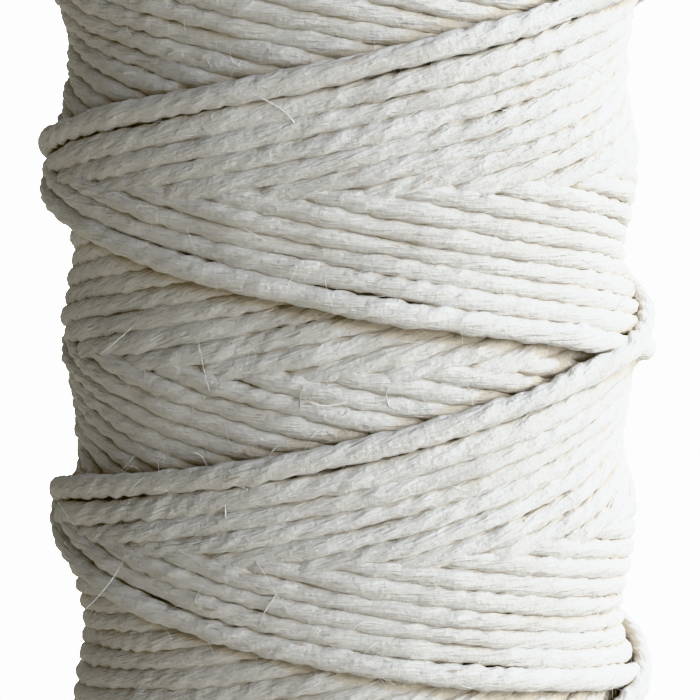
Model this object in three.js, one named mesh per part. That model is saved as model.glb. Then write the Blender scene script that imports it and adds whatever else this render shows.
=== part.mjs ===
// A roll of soft linen twine, cross-wound into an upright cylinder that stands on one end.
// Millimetres, +Z up. The origin is on the surface it stands on, under the middle of the roll.
// Angles run round the axis from the front (-Y) towards the right (+X).
import * as THREE from 'three';
import { mergeVertices } from 'three/addons/utils/BufferGeometryUtils.js';

// Size of the roll
const ROLL_HEIGHT = 95.4;
const MEAN_RADIUS = 25.4;
const SHOULDER_RADIUS = 4;
const DIMPLE_RADIUS = 4;
const DIMPLE_DEPTH = 4;

// The winding: the twine climbs one pitch a turn, and each stroke is laid beside the one before it.
const TWINE_DIAMETER = 2;
const WINDING_PITCH = 32.4;
const LAYER_RISE = 1.2; // how far one layer of fresh turns lifts the surface
const STEP_WIDTH = 1.4 * TWINE_DIAMETER; // over which the surface drops beside the newest turn
const END_FADE = 9; // over which the steps die out towards either end

// The two ways the twine runs: up to the right and down to the right. Older turns of the rising strokes
// lie below the newest, and older turns of the falling strokes lie above it.
const STROKES = [
  { name: 'rising', slope: 1, newestAtFront: 41.2 },
  { name: 'falling', slope: -1, newestAtFront: 53.4 },
];

// Fineness of the faceted surface
const SIDES = 72;
const WALL_ROW_HEIGHT = 2;
const SHOULDER_STEPS = 3;
const DIMPLE_STEPS = 2;

const TWINE_MATERIAL = new THREE.MeshStandardMaterial({
  name: 'linen_twine',
  color: 0xe2dacb,
  roughness: 0.95,
  metalness: 0,
});

/** Points of a quarter ellipse about a centre, from one angle to another, both ends included. */
function quarter(centre, radius, height, fromAngle, steps) {
  const points = [];
  for (let i = 0; i <= steps; i += 1) {
    const angle = fromAngle + (i / steps) * (Math.PI / 2);
    const reach = new THREE.Vector2(radius * Math.cos(angle), height * Math.sin(angle));
    points.push(reach.add(centre));
  }
  return points;
}

/** The lower half of the plain section: dimple, standing face and shoulder, from the axis outwards. */
function lowerEnd() {
  const dimpleCentre = new THREE.Vector2(0, 0);
  const shoulderCentre = new THREE.Vector2(MEAN_RADIUS - SHOULDER_RADIUS, SHOULDER_RADIUS);
  const dimple = quarter(dimpleCentre, DIMPLE_RADIUS, DIMPLE_DEPTH, 0, DIMPLE_STEPS).reverse();
  const shoulder = quarter(shoulderCentre, SHOULDER_RADIUS, SHOULDER_RADIUS, -Math.PI / 2, SHOULDER_STEPS);
  dimple[0].x = 0;
  return [...dimple, ...shoulder];
}

/** The plain section of the roll, from the axis at the bottom round to the axis at the top. */
function rollSection() {
  const lower = lowerEnd();
  const upper = lower.map(({ x, y }) => new THREE.Vector2(x, ROLL_HEIGHT - y)).reverse();
  const wallHeight = ROLL_HEIGHT - 2 * SHOULDER_RADIUS;
  const rows = Math.round(wallHeight / WALL_ROW_HEIGHT);
  const wall = [];
  for (let row = 1; row < rows; row += 1) {
    const height = SHOULDER_RADIUS + (row / rows) * wallHeight;
    wall.push(new THREE.Vector2(MEAN_RADIUS, height));
  }
  return [...lower, ...wall, ...upper];
}

/** Share of a layer that covers a place, by how far the newest turn has passed it, in pitches. */
function layerShare(phase) {
  const step = STEP_WIDTH / WINDING_PITCH;
  const worn = 1 - step;
  return phase < worn ? 1 - phase / worn : (phase - worn) / step;
}

/** How far the wound surface stands out from the mean radius at an angle and a height. */
function woundRelief(angle, height) {
  const climb = (WINDING_PITCH * angle) / (2 * Math.PI);
  let layers = 0;
  for (const { slope, newestAtFront } of STROKES) {
    const passed = slope * (newestAtFront - height) + climb;
    const phase = THREE.MathUtils.euclideanModulo(passed, WINDING_PITCH) / WINDING_PITCH;
    layers += layerShare(phase);
  }
  return LAYER_RISE * (layers - STROKES.length / 2);
}

/** The wound form: the plain section turned about Z, then raised along the bands of the newest turns. */
function woundForm() {
  const turned = new THREE.LatheGeometry(rollSection(), SIDES);
  turned.rotateX(Math.PI / 2);
  turned.deleteAttribute('normal');
  turned.deleteAttribute('uv');
  const form = mergeVertices(turned, TWINE_DIAMETER / 1000);
  const place = form.attributes.position;
  for (let i = 0; i < place.count; i += 1) {
    const [x, y, z] = [place.getX(i), place.getY(i), place.getZ(i)];
    const radius = Math.hypot(x, y);
    const fromEnd = Math.min(z, ROLL_HEIGHT - z) - SHOULDER_RADIUS;
    const strength = THREE.MathUtils.smoothstep(fromEnd, 0, END_FADE);
    if (strength > 0 && radius > 0) {
      const scale = 1 + (strength * woundRelief(Math.atan2(x, -y), z)) / radius;
      place.setXY(i, x * scale, y * scale);
    }
  }
  form.computeVertexNormals();
  return form;
}

/** The whole roll as one mesh. */
function twineRoll() {
  const roll = new THREE.Mesh(woundForm(), TWINE_MATERIAL);
  roll.name = 'twine_roll';
  return roll;
}

const part = new THREE.Group();
part.add(twineRoll());

export default part;
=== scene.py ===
"""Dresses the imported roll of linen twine: its wound turns, its two ends, its loose fibres and the studio.

Lengths are in millimetres and angles in radians until a mesh, lamp or camera is made. Angles run round the
roll's axis from the front (-Y) towards the right (+X).
"""

from __future__ import annotations

import copy
import logging
import math
from collections import deque
from collections.abc import Iterator
from dataclasses import dataclass, field
from enum import Enum

import bpy
import numpy as np
from mathutils import Euler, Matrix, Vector


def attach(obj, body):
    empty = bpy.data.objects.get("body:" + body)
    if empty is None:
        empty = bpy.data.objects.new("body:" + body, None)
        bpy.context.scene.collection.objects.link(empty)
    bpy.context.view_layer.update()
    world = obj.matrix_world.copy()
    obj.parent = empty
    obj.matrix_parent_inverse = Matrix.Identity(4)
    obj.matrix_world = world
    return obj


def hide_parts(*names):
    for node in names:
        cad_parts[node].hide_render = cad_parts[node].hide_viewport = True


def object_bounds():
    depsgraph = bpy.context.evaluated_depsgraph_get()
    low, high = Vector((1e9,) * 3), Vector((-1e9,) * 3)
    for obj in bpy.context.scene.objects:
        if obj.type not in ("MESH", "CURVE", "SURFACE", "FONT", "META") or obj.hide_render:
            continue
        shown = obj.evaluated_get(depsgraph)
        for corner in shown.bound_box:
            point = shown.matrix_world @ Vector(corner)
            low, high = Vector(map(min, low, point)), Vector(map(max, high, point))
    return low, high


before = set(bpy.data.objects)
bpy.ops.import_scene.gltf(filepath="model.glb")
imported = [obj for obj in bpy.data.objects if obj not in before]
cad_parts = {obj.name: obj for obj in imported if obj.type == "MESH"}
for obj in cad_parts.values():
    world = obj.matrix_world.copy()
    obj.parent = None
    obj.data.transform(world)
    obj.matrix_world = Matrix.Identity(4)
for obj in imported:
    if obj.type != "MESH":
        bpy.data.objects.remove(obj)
CAD_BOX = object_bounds()
MM = 0.001
CAD_NODE = "twine_roll"
BODY = "root"
BAKE_MAP = "OFBake"
FULL_TURN = 2 * math.pi
WAVES = 3
WAVE_STEP = 1.7
WAVE_LEVEL = 1.5
OBLIQUE = (0.3, 0.5, 0.8)
LOG = logging.getLogger("twine_roll")

Colour = tuple[float, float, float, float]
Span = tuple[float, float]
Trio = tuple[float, float, float]
Triple = tuple[np.ndarray, np.ndarray, np.ndarray]

WHITE: Colour = (1, 1, 1, 1)
WARM_LINEN: Colour = (0.66, 0.65, 0.60, 1)


class Stroke(Enum):
    """The two ways in which the guide lays the twine while the roll turns, in the order they are laid."""

    FALLING = -1
    RISING = 1

    @property
    def other(self) -> Stroke:
        """The stroke that comes before and after this one."""
        return Stroke(-self.value)


class RollEnd(Enum):
    """The two flat ends of the roll, by the direction in which each faces."""

    TOP = 1
    BOTTOM = -1


class AgeGroup(Enum):
    """The turns of each piece, by the least and the most strokes of their kind that were laid later."""

    NEWEST = (0, 3)
    RECENT = (4, 8)
    OLDER = (9, 15)
    OLDEST = (16, 99)

    @property
    def piece(self) -> str:
        """The name of the piece."""
        return f"turns_{self.name.lower()}"

    def holds(self, run: Run) -> bool:
        """Tells whether a stretch of twine is in this group."""
        least, most = self.value
        return least <= run.age[0] <= most


def wavy(rng: np.random.Generator, place: np.ndarray, length: float, height: float) -> np.ndarray:
    """Gives a smooth irregular wave.

    Args:
        rng: The source of its phases.
        place: Where along the wave it is read.
        length: Its longest wavelength, in the units of place.
        height: About how far it swings to either side.

    Returns:
        The wave at each place.
    """
    swing = np.zeros_like(place)
    for octave in range(WAVES):
        phase = rng.uniform(0, FULL_TURN)
        swing += np.sin(FULL_TURN * place * WAVE_STEP**octave / length + phase) / (1 + octave)
    return swing * height / WAVE_LEVEL


def eased(value: np.ndarray, low: float, high: float) -> np.ndarray:
    """Gives how far a value has come from low to high, from 0 to 1, with soft ends."""
    share = ((value - low) / (high - low)).clip(0, 1)
    return share**2 * (3 - 2 * share)


def unit(vectors: np.ndarray) -> np.ndarray:
    """Scales each row to length 1."""
    return vectors / np.linalg.norm(vectors, axis=-1, keepdims=True)


def round_the_axis(angle: np.ndarray, radius: np.ndarray, height: np.ndarray) -> np.ndarray:
    """Gives the points at an angle, radius and height."""
    return np.stack([radius * np.sin(angle), -radius * np.cos(angle), height], axis=1)


def lengths_along(centre: np.ndarray) -> np.ndarray:
    """Gives the length of a line up to each of its points."""
    steps = np.linalg.norm(np.diff(centre, axis=0), axis=1)
    return np.concatenate([[0], np.cumsum(steps)])


@dataclass(frozen=True)
class Twine:
    """Soft linen twine laid from plies with an S twist, flattened where it is wound beside its neighbours.

    Attributes:
        width: Its width between two neighbours.
        thickness: Its thickness there.
        squareness: The exponent of its rounded section, 2 for an ellipse.
        free_swell: How much thicker a turn is that nothing presses on.
        least_breadth: The smallest share of its width that it is squeezed to.
        most_breadth: The largest share of its width that it spreads to.
        lean: How far its section leans on its neighbour.
        plies: How many plies it has.
        points_per_ply: How many points of its section each ply takes.
        lay: The length of one twist of the plies.
        twist_waves: The unevenness of the twist: its angle, its length and its phase.
        valley: How deep the valleys between the plies are, as a share of the section.
        valley_change: How much that depth changes along the twine, as a share of itself.
        valley_waves: The lengths of that change.
        ply_swell: How much each ply swells and shrinks, as a share of the section.
        ply_waves: That swelling's share, its length and its shift from ply to ply.
        fibre_lay: The length in which the fibres turn once round the plies.
        slub: How much the whole twine swells and shrinks, as a share of the section.
        slub_length: The length of that swelling.
        ring_step: The length from one section to the next.
    """

    width: float = 1.95
    thickness: float = 1.68
    squareness: float = 2.15
    free_swell: float = 1.1
    least_breadth: float = 0.9
    most_breadth: float = 1.25
    lean: float = math.radians(14)
    plies: int = 3
    points_per_ply: int = 4
    lay: float = 7.8
    twist_waves: tuple[Trio, ...] = ((0.65, 7.3, 0.0), (0.4, 3.1, 1.0))
    valley: float = 0.145
    valley_change: float = 0.45
    valley_waves: Span = (4.7, 11.0)
    ply_swell: float = 0.05
    ply_waves: tuple[Trio, ...] = ((1.0, 1.9, 2.4), (0.6, 0.83, 4.1))
    fibre_lay: float = 34.0
    slub: float = 0.08
    slub_length: float = 17.0
    ring_step: float = 0.5

    @property
    def columns(self) -> int:
        """How many points a section has."""
        return self.plies * self.points_per_ply

    @property
    def half_width(self) -> float:
        """Half the breadth that the leaning section covers."""
        return math.hypot(self.width * math.cos(self.lean), self.thickness * math.sin(self.lean)) / 2

    @property
    def half_height(self) -> float:
        """Half the height that the leaning section takes up."""
        return math.hypot(self.width * math.sin(self.lean), self.thickness * math.cos(self.lean)) / 2

    def twist(self, along: np.ndarray) -> np.ndarray:
        """Gives how far the plies have turned at a length of twine, a little unevenly."""
        uneven = sum(swing * np.sin(along / length + phase) for swing, length, phase in self.twist_waves)
        return uneven - FULL_TURN * along / self.lay

    def section(self, along: np.ndarray) -> np.ndarray:
        """Gives the section's radius, as a share of its full one, at each length and point of the section.

        Args:
            along: Lengths of twine.

        Returns:
            A row of shares for each length.
        """
        ply = np.arange(self.columns) / self.points_per_ply
        groove = 1 - np.abs(np.cos(np.pi * ply))
        short, long = (along / length for length in self.valley_waves)
        valley = self.valley * (1 + self.valley_change * np.sin(short) * np.sin(long + 2))
        nearest = np.rint(ply) % self.plies
        swell = 0
        for share, length, shift in self.ply_waves:
            swell = swell + share * np.sin(along[:, None] / length + shift * nearest)
        return 1 - valley[:, None] * groove + self.ply_swell * (1 - groove) * swell


@dataclass
class Run:
    """A stretch of laid twine, point by point.

    Attributes:
        centre: Its middle.
        outward: The direction that faces away from what it lies on.
        along: The length of twine up to here.
        swell: Its thickness, as a share of the usual.
        breadth: Its width, as a share of the usual.
        lean: How far its section leans on its neighbour.
        age: How many strokes of its kind were laid later.
    """

    centre: np.ndarray
    outward: np.ndarray
    along: np.ndarray
    swell: np.ndarray
    breadth: np.ndarray
    lean: np.ndarray
    age: np.ndarray

    def cut(self, first: int, last: int) -> Run:
        """Gives the stretch from one point to another, both included."""
        return Run(*(values[first : last + 1] for values in vars(self).values()))

    def axes(self) -> Triple:
        """Gives the directions of the twine at each point.

        Returns:
            The directions along the twine, outward from its section and to the section's side.
        """
        along = unit(np.gradient(self.centre, axis=0))
        slope = (self.outward * along).sum(axis=1, keepdims=True)
        outward = unit(self.outward - slope * along)
        side = np.cross(along, outward)
        cos, sin = np.cos(self.lean)[:, None], np.sin(self.lean)[:, None]
        return along, cos * outward - sin * side, cos * side + sin * outward


class WoundSurface:
    """The radius of the growing roll over its angle and height, while the turns are laid.

    Attributes:
        CELL: The size of a cell.
        MARGIN: How far the cells go past the ends of the roll.
        SOFT_REACHES: How many times its reach the smoothing goes to each side.
        ALONG: How many places each step of a stroke is laid at.
        ASIDE: How many places across a stroke it is laid at.
    """

    CELL = 0.25
    MARGIN = 3.0
    SOFT_REACHES = 3
    ALONG = 3
    ASIDE = 15

    def __init__(self, height: float, radius: float) -> None:
        """Starts an even surface.

        Args:
            height: The height of the roll.
            radius: About its outer radius, which sets the number of cells round it.
        """
        self.height = height
        self.angles = round(FULL_TURN * radius / self.CELL)
        self.heights = np.arange(-self.MARGIN, height + self.MARGIN, self.CELL)
        self.radius = np.full((self.angles, len(self.heights)), radius)

    def cells(self, angle: np.ndarray, height: np.ndarray) -> tuple[np.ndarray, np.ndarray]:
        """Finds the cell at each place.

        Args:
            angle: The angle of each place.
            height: Its height.

        Returns:
            The column and the row of each cell.
        """
        column = np.rint(angle / FULL_TURN * self.angles).astype(int) % self.angles
        row = np.rint((height - self.heights[0]) / self.CELL).astype(int)
        return column, row.clip(0, len(self.heights) - 1)

    def at(self, angle: np.ndarray, height: np.ndarray) -> np.ndarray:
        """Gives the radius at each place."""
        return self.radius[self.cells(angle, height)]

    def softened(self, reach: float) -> WoundSurface:
        """Gives a copy that is smoothed out, so that crevices lie below it.

        Args:
            reach: How far the smoothing reaches.

        Returns:
            The copy.
        """
        half = round(self.SOFT_REACHES * reach / self.CELL)
        weights = np.exp(-((np.arange(-half, half + 1) * self.CELL / reach) ** 2) / 2)
        soft = copy.copy(self)
        for mode in ("wrap", "edge"):
            padded = np.pad(soft.radius, ((half, half), (0, 0)), mode=mode)
            count = len(soft.radius)
            total = sum(weight * padded[start : start + count] for start, weight in enumerate(weights))
            soft.radius = total.T / weights.sum()
        return soft

    def add(self, twine: Twine, course: Triple) -> None:
        """Raises the surface where a stroke is laid.

        Args:
            twine: What is laid.
            course: The angle, height and radius of its middle, point by point.
        """
        count = len(course[0])
        fine = np.linspace(0, count - 1, self.ALONG * count)
        points = np.arange(count)
        angle, height, radius = (np.interp(fine, points, values) for values in course)
        for aside in np.linspace(-1, 1, self.ASIDE):
            rise = twine.half_height * math.sqrt(1 - aside**2)
            cells = self.cells(angle, height + aside * twine.half_width)
            np.maximum.at(self.radius, cells, radius + rise)


@dataclass
class WoundRoll:
    """The cross-wound turns: each stroke lies beside the one before it, on what was wound under it.

    Attributes:
        twine: What is wound.
        height: The height of the roll.
        radius: About its outer radius.
        pitch: How far a stroke climbs or falls in a turn.
        spacing: The usual distance between neighbours, along the axis.
        spacing_spread: How much that distance varies.
        strokes: How many strokes of each kind are laid.
        beside: How many strokes of one kind lie side by side before the next lies on top of them.
        layer_rise: How much higher the newest turns of a kind lie than its oldest ones.
        step_width: How wide the step down beside the newest turn is.
        highest: How far outside the radius the middle of a turn may lie.
        shoulder: How far from an end the surface starts to fall in.
        shoulder_drop: How far it falls in.
        turn_back: The angle in which a stroke rounds over at an end.
        turn_back_spread: The smallest and the largest share of that angle.
        end_inset: The least room between a turn and an end.
        end_bend: How softly a stroke bends back from an end.
        press: How far a turn sinks into what it lies on.
        free_press: How far the newest turns do.
        flank: The share of a turn's half width that rests on what is under it.
        rests: How many places across a turn it rests at.
        beside_reach: How many spacings away a neighbour still holds a turn up.
        widest_gap: The widest gap between neighbours that the twine fills.
        deepest_step: How far a turn may lie below its neighbour.
        even_out: How much of the difference between its two gaps a turn moves by.
        slack: How far the newest falling stroke sags, in its upper and its lower turn.
        slack_from: Where in a turn it starts to sag.
        slack_to: Where in a turn it has come back.
        wander: How far a stroke strays along the axis.
        wander_length: The angle of that straying.
        settle: How unevenly a stroke lies on what is under it.
        settle_length: The angle of that unevenness.
        taut_rounds: How many times a stroke is pulled straight.
        smooth_rounds: How many times it is smoothed after that.
        cover_margin: How far above a turn the surface lies where the turn is covered.
        cover_places: How many places across a turn are tried for that.
        shown_past_cover: How much of a turn is kept past the place where it is covered.
        end_depth: How close to an end every turn is kept.
        end_strokes: How many strokes of each kind are kept there.
        crevice_reach: How far the smoothing reaches that tells the crevices from the turns.
        drift_starts: The angles past the front between which a stroke leaves its even course.
        drift_ends: The angles between which it comes back to it.
        drift: How far it leaves it.
        newest: Where the newest stroke crosses the front.
        newest_gaps: The distances between the newest strokes, from the newest back.
        seed: The start of its unevenness.
    """

    twine: Twine
    height: float
    radius: float = 25.1
    pitch: float = 32.4
    spacing: float = 1.68
    spacing_spread: float = 0.13
    strokes: int = 40
    beside: int = 9
    layer_rise: float = 1.5
    step_width: float = 2.8
    highest: float = 1.2
    shoulder: float = 5.0
    shoulder_drop: float = 3.0
    turn_back: float = 0.3
    turn_back_spread: Span = (0.8, 1.35)
    end_inset: float = 0.2
    end_bend: float = 0.5
    press: float = 0.24
    free_press: float = 0.05
    flank: float = 0.36
    rests: int = 5
    beside_reach: float = 1.5
    widest_gap: float = 2.0
    deepest_step: float = 0.4
    even_out: float = 0.25
    slack: Span = (0.15, 0.4)
    slack_from: Span = (4.3, 5.1)
    slack_to: Span = (5.5, 6.2)
    wander: float = 0.11
    wander_length: float = 1.6
    settle: float = 0.12
    settle_length: float = 1.3
    taut_rounds: int = 220
    smooth_rounds: int = 3
    cover_margin: float = 0.12
    cover_places: int = 7
    shown_past_cover: float = 3.0
    end_depth: float = 3.0
    end_strokes: int = 20
    crevice_reach: float = 0.7
    drift_starts: Span = (1.4, 4.8)
    drift_ends: Span = (7.9, 10.2)
    drift: dict[Stroke, float] = field(default_factory=lambda: {Stroke.RISING: -1.4, Stroke.FALLING: 2.65})
    newest: dict[Stroke, float] = field(default_factory=lambda: {Stroke.RISING: 41.2, Stroke.FALLING: 53.4})
    newest_gaps: dict[Stroke, tuple[float, ...]] = field(
        default_factory=lambda: {
            Stroke.RISING: (2.2, 1.85, 1.5, 1.7),
            Stroke.FALLING: (1.95, 1.6, 1.5, 1.6, 1.7),
        }
    )
    seed: int = 11

    def __post_init__(self) -> None:
        """Works out where each stroke crosses the front, and what the last strokes are laid on."""
        self.rng = np.random.default_rng(self.seed)
        self.climb = self.pitch / FULL_TURN
        self.growth = len(Stroke) * self.layer_rise * self.spacing / self.pitch
        self.front = {stroke: self.front_heights(stroke) for stroke in Stroke}
        turns = self.strokes + 2
        self.rounding = {end: self.rng.uniform(*self.turn_back_spread, turns) for end in RollEnd}
        self.surface = WoundSurface(self.height, self.radius)
        self.cover = WoundSurface(self.height, self.radius)
        self.under = {stroke: WoundSurface(self.height, self.radius) for stroke in Stroke}
        for surface in (self.surface, self.cover, *self.under.values()):
            surface.radius[:] = self.bare_surface()

    def front_heights(self, stroke: Stroke) -> np.ndarray:
        """Gives where the strokes of one kind cross the front, from one still to come to the oldest.

        Args:
            stroke: Rising strokes lie lower the older they are, and falling strokes higher.

        Returns:
            A height for each age, starting at -1.
        """
        gaps = self.spacing + self.rng.normal(0, self.spacing_spread, self.strokes + 1)
        known = self.newest_gaps[stroke]
        gaps[: len(known)] = known
        behind = np.concatenate([[-self.spacing, 0], np.cumsum(gaps)])
        return self.newest[stroke] - stroke.value * behind

    def crossing(self, stroke: Stroke, age: int) -> float:
        """Gives the height at which a stroke crosses the front."""
        return self.front[stroke][age + 1]

    def shoulder_fall(self, height: np.ndarray) -> np.ndarray:
        """Gives how far the surface lies in near the ends of the roll."""
        from_end = np.minimum(height, self.height - height).clip(0, self.shoulder)
        return self.shoulder_drop * (1 - from_end / self.shoulder) ** 2

    def bare_surface(self) -> np.ndarray:
        """Gives the surface before the last strokes: high beside its newest turns, low at its shoulders.

        Returns:
            The radius of each cell.
        """
        angle = np.arange(self.surface.angles)[:, None] / self.surface.angles * FULL_TURN
        height = self.surface.heights[None, :]
        step = self.step_width / self.pitch
        layers = -1.0
        for stroke in Stroke:
            passed = stroke.value * (self.crossing(stroke, self.strokes) - height) + self.climb * angle
            phase = passed / self.pitch % 1
            falls, rises = 1 - phase / (1 - step), (phase - 1 + step) / step
            layers = layers + np.where(phase < 1 - step, falls, rises)
        grown = self.radius - self.growth * self.strokes
        return grown + self.layer_rise * layers - self.shoulder_fall(height)

    def turning_point(self, rising: float, falling: float, end: RollEnd) -> tuple[float, float]:
        """Finds where a rising and a falling stroke meet at an end of the roll.

        Args:
            rising: Where the rising stroke crosses the front.
            falling: Where the falling stroke crosses the front.
            end: The end of the roll.

        Returns:
            The angle, counted from the rising stroke's crossing of the front, and the height of that place.
        """
        target = self.height if end is RollEnd.TOP else 0
        turns = round((2 * target - rising - falling) / self.pitch)
        angle = (falling + turns * self.pitch - rising) / (2 * self.climb)
        return angle, rising + self.climb * angle

    def route(self, stroke: Stroke, age: int) -> tuple[np.ndarray, np.ndarray]:
        """Gives the angles and heights that a stroke runs through, from one turning point to the next.

        Args:
            stroke: Its kind.
            age: How many strokes of its kind were laid after it.

        Returns:
            An angle and a height for each point.
        """
        own = self.crossing(stroke, age)
        if stroke is Stroke.RISING:
            before, after = (self.crossing(Stroke.FALLING, a) for a in (age, age - 1))
            start, low = self.turning_point(own, before, RollEnd.BOTTOM)
            stop, high = self.turning_point(own, after, RollEnd.TOP)
            turns = [(start, RollEnd.BOTTOM, age), (stop, RollEnd.TOP, age)]
            start_height = low
        else:
            before, after = (self.crossing(Stroke.RISING, a) for a in (age + 1, age))
            start, high = self.turning_point(before, own, RollEnd.TOP)
            low = self.turning_point(after, own, RollEnd.BOTTOM)[1]
            stop = start + (high - low) / self.climb
            turns = [(start, RollEnd.TOP, age + 1), (stop, RollEnd.BOTTOM, age)]
            start_height = high
        angle = np.linspace(start, stop, round((stop - start) * self.radius / self.twine.ring_step))
        height = start_height + stroke.value * self.climb * (angle - start)
        past = stroke.value * (height - own) / self.climb
        height += self.drift[stroke] * (eased(past, *self.drift_starts) - eased(past, *self.drift_ends))
        if stroke is Stroke.FALLING and age == 0:
            phase = past % FULL_TURN
            slack = np.where(past < 0, *self.slack)
            height -= slack * (eased(phase, *self.slack_from) - eased(phase, *self.slack_to))
        for turn, end, number in turns:
            round_off = self.climb * self.turn_back * self.rounding[end][number]
            away = self.climb * np.abs(angle - turn)
            height -= end.value * (np.sqrt(away**2 + round_off**2) - away)
        calm = np.minimum(angle - start, stop - angle).clip(0, 1)
        rng = np.random.default_rng((self.seed, stroke.value + 1, age))
        return angle, self.between_ends(height + calm * wavy(rng, angle, self.wander_length, self.wander))

    def between_ends(self, height: np.ndarray) -> np.ndarray:
        """Bends heights that run past an end of the roll back to just inside it.

        Args:
            height: The heights.

        Returns:
            The heights, bent back.
        """
        inset = self.twine.half_width + self.end_inset
        above_foot = inset + self.end_bend * np.logaddexp(0, (height - inset) / self.end_bend)
        below_top = (self.height - inset - above_foot) / self.end_bend
        return self.height - inset - self.end_bend * np.logaddexp(0, below_top)

    def seat(self, stroke: Stroke, age: int, angle: np.ndarray, height: np.ndarray) -> np.ndarray:
        """Gives the radius at which the twine's middle lies on what is under each point.

        Args:
            stroke: Its kind.
            age: How many strokes of its kind will be laid after it.
            angle: The angle of each point.
            height: The height of each point.

        Returns:
            A radius for each point.
        """
        lowest = np.zeros_like(angle)
        for aside in np.linspace(-self.flank, self.flank, self.rests):
            below = self.under[stroke].at(angle, height + aside * self.twine.half_width)
            lowest = np.maximum(lowest, below + self.twine.half_height * math.sqrt(1 - aside**2))
        limit = self.radius + self.highest - self.growth * age - self.shoulder_fall(height)
        return np.minimum(lowest - (self.press if age else self.free_press), limit)

    def held_up(self, neighbour: Triple, angle: np.ndarray, height: np.ndarray) -> np.ndarray:
        """Gives the radius at which the stroke before holds up the next one beside it.

        Args:
            neighbour: The angle, height and radius of its points.
            angle: The angle of each point of the next stroke.
            height: The height of each of those points.

        Returns:
            A radius for each of those points, 0 where the two aren't side by side.
        """
        lowest = np.zeros_like(angle)
        for turns in (-1, 0, 1):
            same = angle + turns * FULL_TURN
            near = np.abs(np.interp(same, *neighbour[:2]) - height) < self.beside_reach * self.spacing
            lowest[near] = np.interp(same, neighbour[0], neighbour[2])[near] - self.deepest_step
        return lowest

    def pull_taut(self, seat: np.ndarray, step: float) -> np.ndarray:
        """Pulls the twine straight between the points that hold it up.

        Args:
            seat: The lowest radius at each point.
            step: The angle from point to point.

        Returns:
            The radius at each point.
        """
        radius = seat.copy()
        bow = seat.mean() * step**2 / 2
        for _ in range(self.taut_rounds):
            straight = (radius[:-2] + radius[2:]) / 2 - bow
            radius[1:-1] = np.maximum(seat[1:-1], straight)
        for _ in range(self.smooth_rounds):
            radius[1:-1] = (radius[:-2] + 2 * radius[1:-1] + radius[2:]) / 4
        return radius

    def lay(self) -> Run:
        """Lays the strokes from the oldest to the newest.

        Returns:
            The whole length of twine.
        """
        waiting = {stroke: deque() for stroke in Stroke}
        courses, leans, ages, breadths = [], [], [], []
        for age in reversed(range(self.strokes)):
            for stroke in Stroke:
                angle, height = self.route(stroke, age)
                older = self.gap(stroke, age + 1, angle, height)
                newer = self.gap(stroke, age - 1, angle, height) if age else older
                most = self.twine.most_breadth if age else 1.0
                breadth = ((older + newer) / 2 / self.spacing).clip(self.twine.least_breadth, most)
                height = height + stroke.value * (newer - older) * self.even_out
                seat = self.seat(stroke, age, angle, height)
                if waiting[stroke]:
                    seat = np.maximum(seat, self.held_up(waiting[stroke][-1], angle, height))
                if courses:
                    seat[0] = courses[-1][2][-1]
                calm = np.minimum(angle - angle[0], angle[-1] - angle).clip(0, 1)
                radius = self.pull_taut(seat, angle[1] - angle[0])
                uneven = wavy(self.rng, angle, self.settle_length, self.settle)
                course = angle, height, radius + calm * uneven
                self.surface.add(self.twine, course)
                if age:
                    self.cover.add(self.twine, course)
                back = round(2 * self.turn_back * self.radius / self.twine.ring_step)
                self.under[stroke.other].add(self.twine, tuple(values[:-back] for values in course))
                waiting[stroke].append(course)
                if len(waiting[stroke]) > self.beside:
                    self.under[stroke].add(self.twine, waiting[stroke].popleft())
                from_end = np.minimum(height, self.height - height)
                courses.append(course)
                lean = stroke.value * self.twine.lean * min(age, 1)
                leans.append(lean * (from_end / self.shoulder).clip(0, 1))
                ages.append(np.full(len(angle), age))
                breadths.append(breadth)
        return self.joined(courses, leans, ages, breadths)

    def gap(self, stroke: Stroke, age: int, angle: np.ndarray, height: np.ndarray) -> np.ndarray:
        """Gives how far above or below some points a stroke runs.

        Args:
            stroke: Its kind.
            age: How many strokes of its kind will be laid after it.
            angle: The angle of each point.
            height: The height of each point.

        Returns:
            A distance for each point, the usual one near the ends of the roll.
        """
        gap = np.abs(np.interp(angle, *self.route(stroke, age)) - height) % self.pitch
        gap = np.minimum(gap, self.pitch - gap).clip(0, self.widest_gap)
        calm = eased(np.minimum(height, self.height - height), self.twine.width, self.shoulder)
        return self.spacing + calm * (gap - self.spacing)

    def joined(self, courses: list[Triple], *others: list[np.ndarray]) -> Run:
        """Joins the strokes in one length of twine.

        Args:
            courses: The angle, height and radius of each stroke's points.
            others: The lean of the section, the age and the breadth at each stroke's points.

        Returns:
            The length of twine.
        """
        ends = np.cumsum([len(course[0]) for course in courses])[:-1]
        joined = (np.delete(np.concatenate(values), ends) for values in (*zip(*courses), *others))
        angle, height, radius, lean, age, breadth = joined
        centre = round_the_axis(angle, radius, height)
        outward = round_the_axis(angle, np.ones_like(angle), np.zeros_like(angle))
        along = lengths_along(centre)
        slub = wavy(self.rng, along, self.twine.slub_length, self.twine.slub)
        swell = np.where(age == 0, self.twine.free_swell, 1.0) + slub
        return Run(centre, outward, along, swell, breadth, lean, age)

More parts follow.
